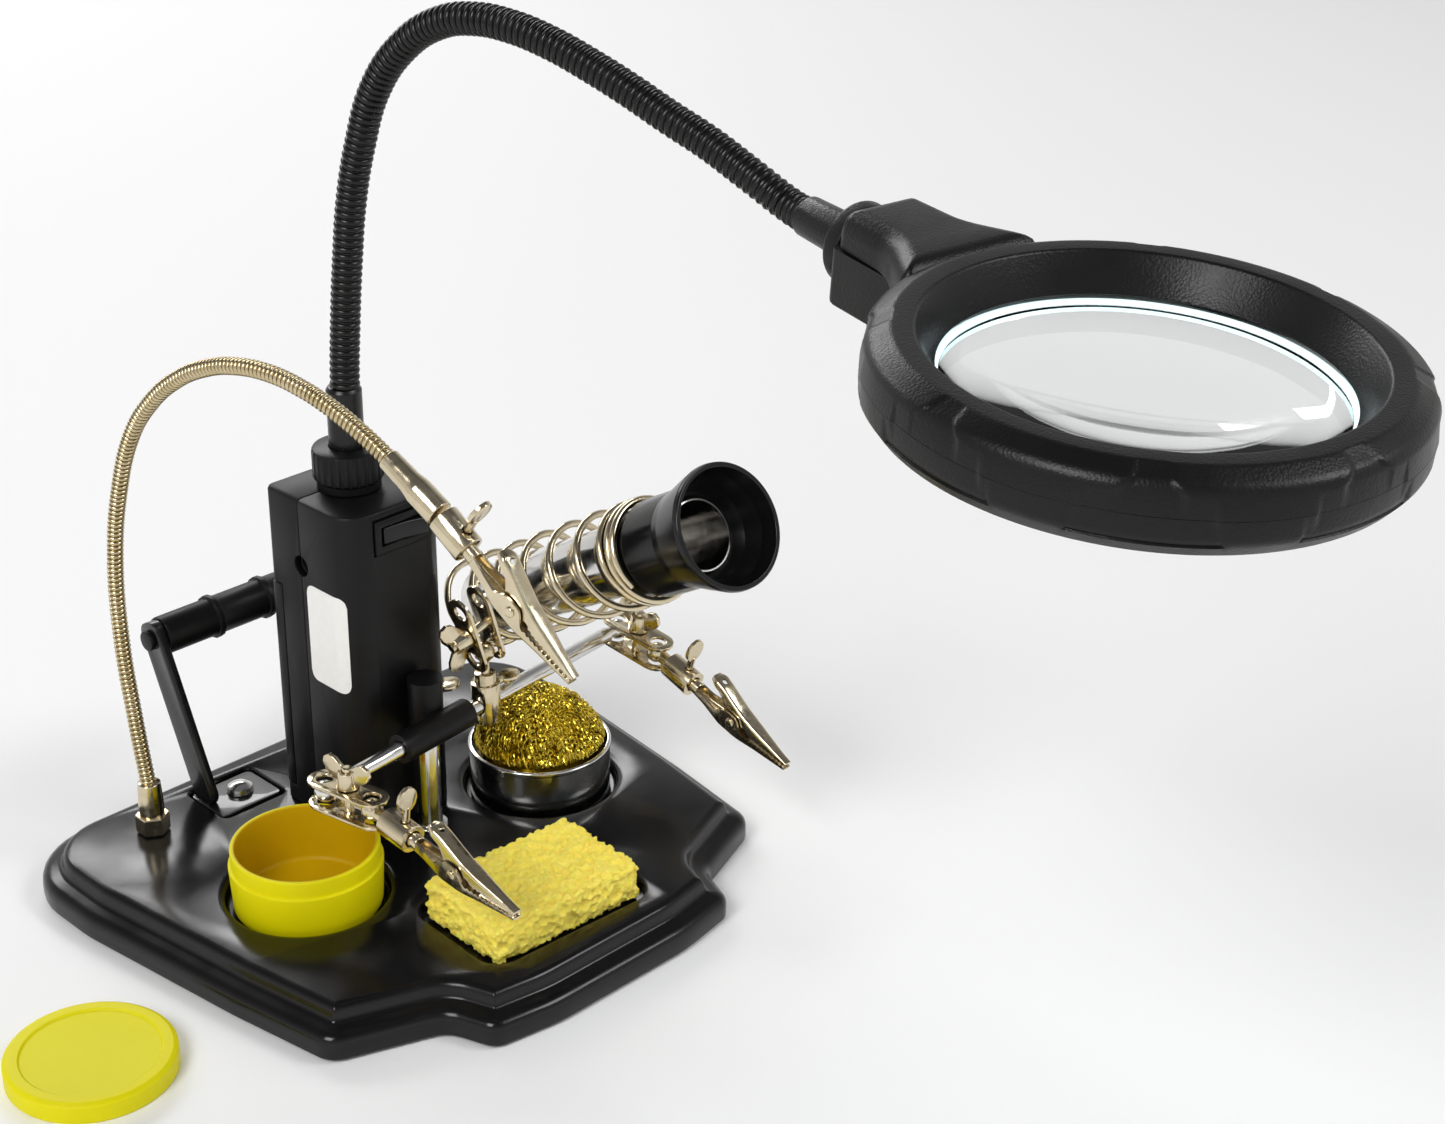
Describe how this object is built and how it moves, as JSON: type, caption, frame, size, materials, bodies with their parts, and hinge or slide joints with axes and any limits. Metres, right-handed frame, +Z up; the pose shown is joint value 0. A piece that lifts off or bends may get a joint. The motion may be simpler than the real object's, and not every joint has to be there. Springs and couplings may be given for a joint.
{
  "type": "soldering station with magnifier lamp",
  "caption": "Helping-hand soldering stand with a gooseneck magnifier lamp, coil iron rest, clips, solder reel bracket, sponge and cups.",
  "frame": {"origin": "middle of the anti-slip pad's underside, midway between the base's sides and under its centre", "axes": "+Z up, -Y towards the user, +X to the right as the user faces it"},
  "size_m": [0.2519, 0.398, 0.2758],
  "materials": {
    "black_gloss": "glossy moulded ABS",
    "black_satin": "fine satin texture",
    "black_painted": "gloss black paint",
    "nickel": "warm nickel plate",
    "steel": "polished",
    "zinc": "zinc plate",
    "foam": "foam pad",
    "yellow": "slightly translucent",
    "sponge": "open cellulose sponge",
    "brass": "curled shavings",
    "glass": "clear lens",
    "diffuser": "milky light ring",
    "board": "white solder mask",
    "cell": "printed wrap"
  },
  "bodies": {
    "station": {"base_shell": "black_gloss", "ballast_plate": "zinc", "anti_slip_pad": "foam", "battery_case_front": "black_satin", "battery_case_rear": "black_satin", "battery_cell_1": "cell", "battery_cell_2": "cell", "battery_cell_3": "cell", "battery_cell_4": "cell", "dc_jack": "black_satin", "switch_body": "black_satin", "gooseneck_collar": "black_satin", "post": "steel", "spool_bracket": "black_painted", "bracket_screw": "steel"},
    "switch_rocker": {"switch_rocker": "black_gloss"},
    "battery_door": {"battery_door": "black_satin"},
    "lamp_lower": {"lamp_arm_lower": "black_gloss"},
    "lamp_upper": {"lamp_arm_upper": "black_gloss"},
    "head": {"head_bottom_cover": "black_satin", "head_top_cover": "black_satin", "magnifier_lens": "glass", "led_ring_board": "board", "led_diffuser": "diffuser"},
    "spindle": {"spool_spindle": "black_satin"},
    "flex_lower": {"flex_arm_lower": "nickel"},
    "flex_upper": {"flex_arm_upper": "nickel", "flex_clip_socket": "nickel"},
    "flex_thumbscrew": {"flex_thumbscrew": "nickel"},
    "flex_clip": {"flex_clip_body": "nickel"},
    "flex_jaw": {"flex_clip_jaw": "nickel"},
    "clamp": {"post_clamp": "black_satin"},
    "clamp_thumbscrew": {"clamp_thumbscrew": "nickel"},
    "rod": {"cross_rod": "steel"},
    "middle_clamp": {"rod_t_clamp": "nickel"},
    "middle_plates": {"middle_stud_plate": "nickel", "middle_clamp_plate": "nickel"},
    "middle_wing_nut": {"middle_wing_nut": "nickel"},
    "iron_rest": {"iron_coil": "nickel", "iron_funnel": "black_gloss", "heat_tube": "steel"},
    "flux_cup": {"flux_cup": "yellow"},
    "flux_lid": {"flux_lid": "yellow"},
    "wool_cup": {"wool_cup": "steel"},
    "brass_wool": {"brass_wool": "brass"},
    "sponge": {"sponge": "sponge"},
    "left_plates": {"left_stud_plate": "nickel", "left_clamp_plate": "nickel"},
    "left_wing_nut": {"left_wing_nut": "nickel"},
    "left_socket": {"left_clip_socket": "nickel"},
    "left_thumbscrew": {"left_thumbscrew": "nickel"},
    "left_clip": {"left_clip_body": "nickel"},
    "left_jaw": {"left_clip_jaw": "nickel"},
    "right_plates": {"right_stud_plate": "nickel", "right_clamp_plate": "nickel"},
    "right_wing_nut": {"right_wing_nut": "nickel"},
    "right_socket": {"right_clip_socket": "nickel"},
    "right_thumbscrew": {"right_thumbscrew": "nickel"},
    "right_clip": {"right_clip_body": "nickel"},
    "right_jaw": {"right_clip_jaw": "nickel"}
  },
  "joints": [
    {"name": "rocker_tilt", "type": "hinge", "parent": "station", "child": "switch_rocker", "pos_m": [0.0012, 0.0118, 0.1143], "axis": [0, 0, 1], "range_deg": [0, 16]},
    {"name": "battery_door_off", "type": "slide", "parent": "station", "child": "battery_door", "axis": [0, 1, 0], "range_m": [0, 0.015]},
    {"name": "lamp_swivel", "type": "hinge", "parent": "station", "child": "lamp_lower", "pos_m": [-0.0016, 0.033, 0.1228], "axis": [0, 0, 1], "range_deg": [-20, 30]},
    {"name": "lamp_bend", "type": "hinge", "parent": "lamp_lower", "child": "lamp_upper", "pos_m": [0.0052, -0.0235, 0.2712], "axis": [0.9893, -0.1461, 0], "range_deg": [-8, 12]},
    {"name": "head_tilt", "type": "hinge", "parent": "lamp_upper", "child": "head", "pos_m": [0.01781, -0.12882, 0.24109], "axis": [0.9893, -0.1461, 0], "range_deg": [-20, 30]},
    {"name": "flex_swivel", "type": "hinge", "parent": "station", "child": "flex_lower", "pos_m": [-0.061, 0.0635, 0.0145], "axis": [0, 0, 1], "range_deg": [-20, 10]},
    {"name": "flex_bend", "type": "hinge", "parent": "flex_lower", "child": "flex_upper", "pos_m": [-0.0602, 0.0552, 0.1485], "axis": [0.9976, 0.0698, 0], "range_deg": [-10, 8]},
    {"name": "flex_thumbscrew_turn", "type": "hinge", "parent": "flex_upper", "child": "flex_thumbscrew", "pos_m": [-0.04704, -0.07384, 0.1566], "axis": [0.0602, -0.5841, 0.8095], "continuous": true},
    {"name": "flex_clip_turn", "type": "hinge", "parent": "flex_upper", "child": "flex_clip", "pos_m": [-0.04675, -0.07658, 0.15461], "axis": [0.083, -0.8052, -0.5872], "range_deg": [-90, 90]},
    {"name": "flex_jaw", "type": "hinge", "parent": "flex_clip", "child": "flex_jaw", "pos_m": [-0.045, -0.09356, 0.14408], "axis": [-0.9947, -0.1026, 0], "range_deg": [0, 22], "stiffness_Nm_per_rad": 0.05},
    {"name": "left_thumbscrew_turn", "type": "hinge", "parent": "left_socket", "child": "left_thumbscrew", "pos_m": [-0.04251, -0.03859, 0.05117], "axis": [0.0039, -0.1301, 0.9915], "continuous": true},
    {"name": "left_clip_turn", "type": "hinge", "parent": "left_socket", "child": "left_clip", "pos_m": [-0.04241, -0.04196, 0.05072], "axis": [0.03, -0.991, -0.1301], "range_deg": [-90, 90]},
    {"name": "left_jaw", "type": "hinge", "parent": "left_clip", "child": "left_jaw", "pos_m": [-0.0418, -0.06198, 0.04961], "axis": [-0.9995, -0.0303, 0], "range_deg": [0, 22], "stiffness_Nm_per_rad": 0.05},
    {"name": "right_thumbscrew_turn", "type": "hinge", "parent": "right_socket", "child": "right_thumbscrew", "pos_m": [0.08366, -0.02399, 0.04667], "axis": [0, -0.297, 0.9549], "continuous": true},
    {"name": "right_clip_turn", "type": "hinge", "parent": "right_socket", "child": "right_clip", "pos_m": [0.08366, -0.02724, 0.04566], "axis": [0, -0.9549, -0.297], "range_deg": [-90, 90]},
    {"name": "right_jaw", "type": "hinge", "parent": "right_clip", "child": "right_jaw", "pos_m": [0.08366, -0.04678, 0.04116], "axis": [-1, 0, 0], "range_deg": [0, 22], "stiffness_Nm_per_rad": 0.05},
    {"name": "post_clamp_swivel", "type": "hinge", "parent": "station", "child": "clamp", "pos_m": [0.002, 0.006, 0.06], "axis": [0, 0, 1], "range_deg": [-8, 8]},
    {"name": "clamp_thumbscrew_turn", "type": "hinge", "parent": "clamp", "child": "clamp_thumbscrew", "pos_m": [0.00607, 0.00645, 0.06], "axis": [0.994, 0.1097, 0], "continuous": true},
    {"name": "cross_rod_slide", "type": "slide", "parent": "clamp", "child": "rod", "axis": [0.994, 0.1097, 0], "range_m": [-0.003, 0.003]},
    {"name": "left_plates_tilt", "type": "hinge", "parent": "rod", "child": "left_plates", "pos_m": [-0.04615, -0.00711, 0.053], "axis": [-0.994, -0.1097, 0], "range_deg": [-6, 20]},
    {"name": "left_wing_nut_turn", "type": "hinge", "parent": "left_plates", "child": "left_wing_nut", "pos_m": [-0.04454, -0.01587, 0.0575], "axis": [0, 0, 1], "continuous": true},
    {"name": "left_socket_yaw", "type": "hinge", "parent": "left_plates", "child": "left_socket", "pos_m": [-0.04294, -0.02462, 0.053], "axis": [0, 0, 1], "range_deg": [-20, 20]},
    {"name": "right_plates_tilt", "type": "hinge", "parent": "rod", "child": "right_plates", "pos_m": [0.08277, 0.00712, 0.053], "axis": [-0.994, -0.1097, 0], "range_deg": [-8, 25]},
    {"name": "right_wing_nut_turn", "type": "hinge", "parent": "right_plates", "child": "right_wing_nut", "pos_m": [0.08324, -0.00225, 0.0564], "axis": [0.0061, -0.12, 0.9928], "continuous": true},
    {"name": "right_socket_yaw", "type": "hinge", "parent": "right_plates", "child": "right_socket", "pos_m": [0.08366, -0.01053, 0.05086], "axis": [0.0061, -0.12, 0.9928], "range_deg": [-20, 20]},
    {"name": "middle_clamp_turn", "type": "hinge", "parent": "rod", "child": "middle_clamp", "pos_m": [0.02094, 0.00029, 0.053], "axis": [0.994, 0.1097, 0], "range_deg": [-3, 10]},
    {"name": "middle_plates_tilt", "type": "hinge", "parent": "middle_clamp", "child": "middle_plates", "pos_m": [0.02094, 0.00029, 0.0705], "axis": [-0.9608, 0, -0.2772], "range_deg": [-10, 10]},
    {"name": "middle_wing_nut_turn", "type": "hinge", "parent": "middle_plates", "child": "middle_wing_nut", "pos_m": [0.01415, 0.00029, 0.0778], "axis": [-0.9608, 0, -0.2772], "continuous": true},
    {"name": "iron_rest_swivel", "type": "hinge", "parent": "station", "child": "iron_rest", "pos_m": [0.046, 0.0315, 0.012], "axis": [0, 0, 1], "range_deg": [-2, 6]},
    {"name": "spindle_spin", "type": "hinge", "parent": "station", "child": "spindle", "pos_m": [-0.0385, 0.0885, 0.0635], "axis": [1, 0, 0], "continuous": true},
    {"name": "flux_cup_lift", "type": "slide", "parent": "station", "child": "flux_cup", "axis": [0, 0, 1], "range_m": [0, 0.012]},
    {"name": "flux_lid_lift", "type": "slide", "parent": "station", "child": "flux_lid", "axis": [0, 0, 1], "range_m": [0, 0.02]},
    {"name": "wool_cup_lift", "type": "slide", "parent": "station", "child": "wool_cup", "axis": [0, 0, 1], "range_m": [0, 0.003]},
    {"name": "brass_wool_lift", "type": "slide", "parent": "wool_cup", "child": "brass_wool", "axis": [0, 0, 1], "range_m": [0, 0.002]},
    {"name": "sponge_lift", "type": "slide", "parent": "station", "child": "sponge", "axis": [0, 0, 1], "range_m": [0, 0.008]}
  ]
}
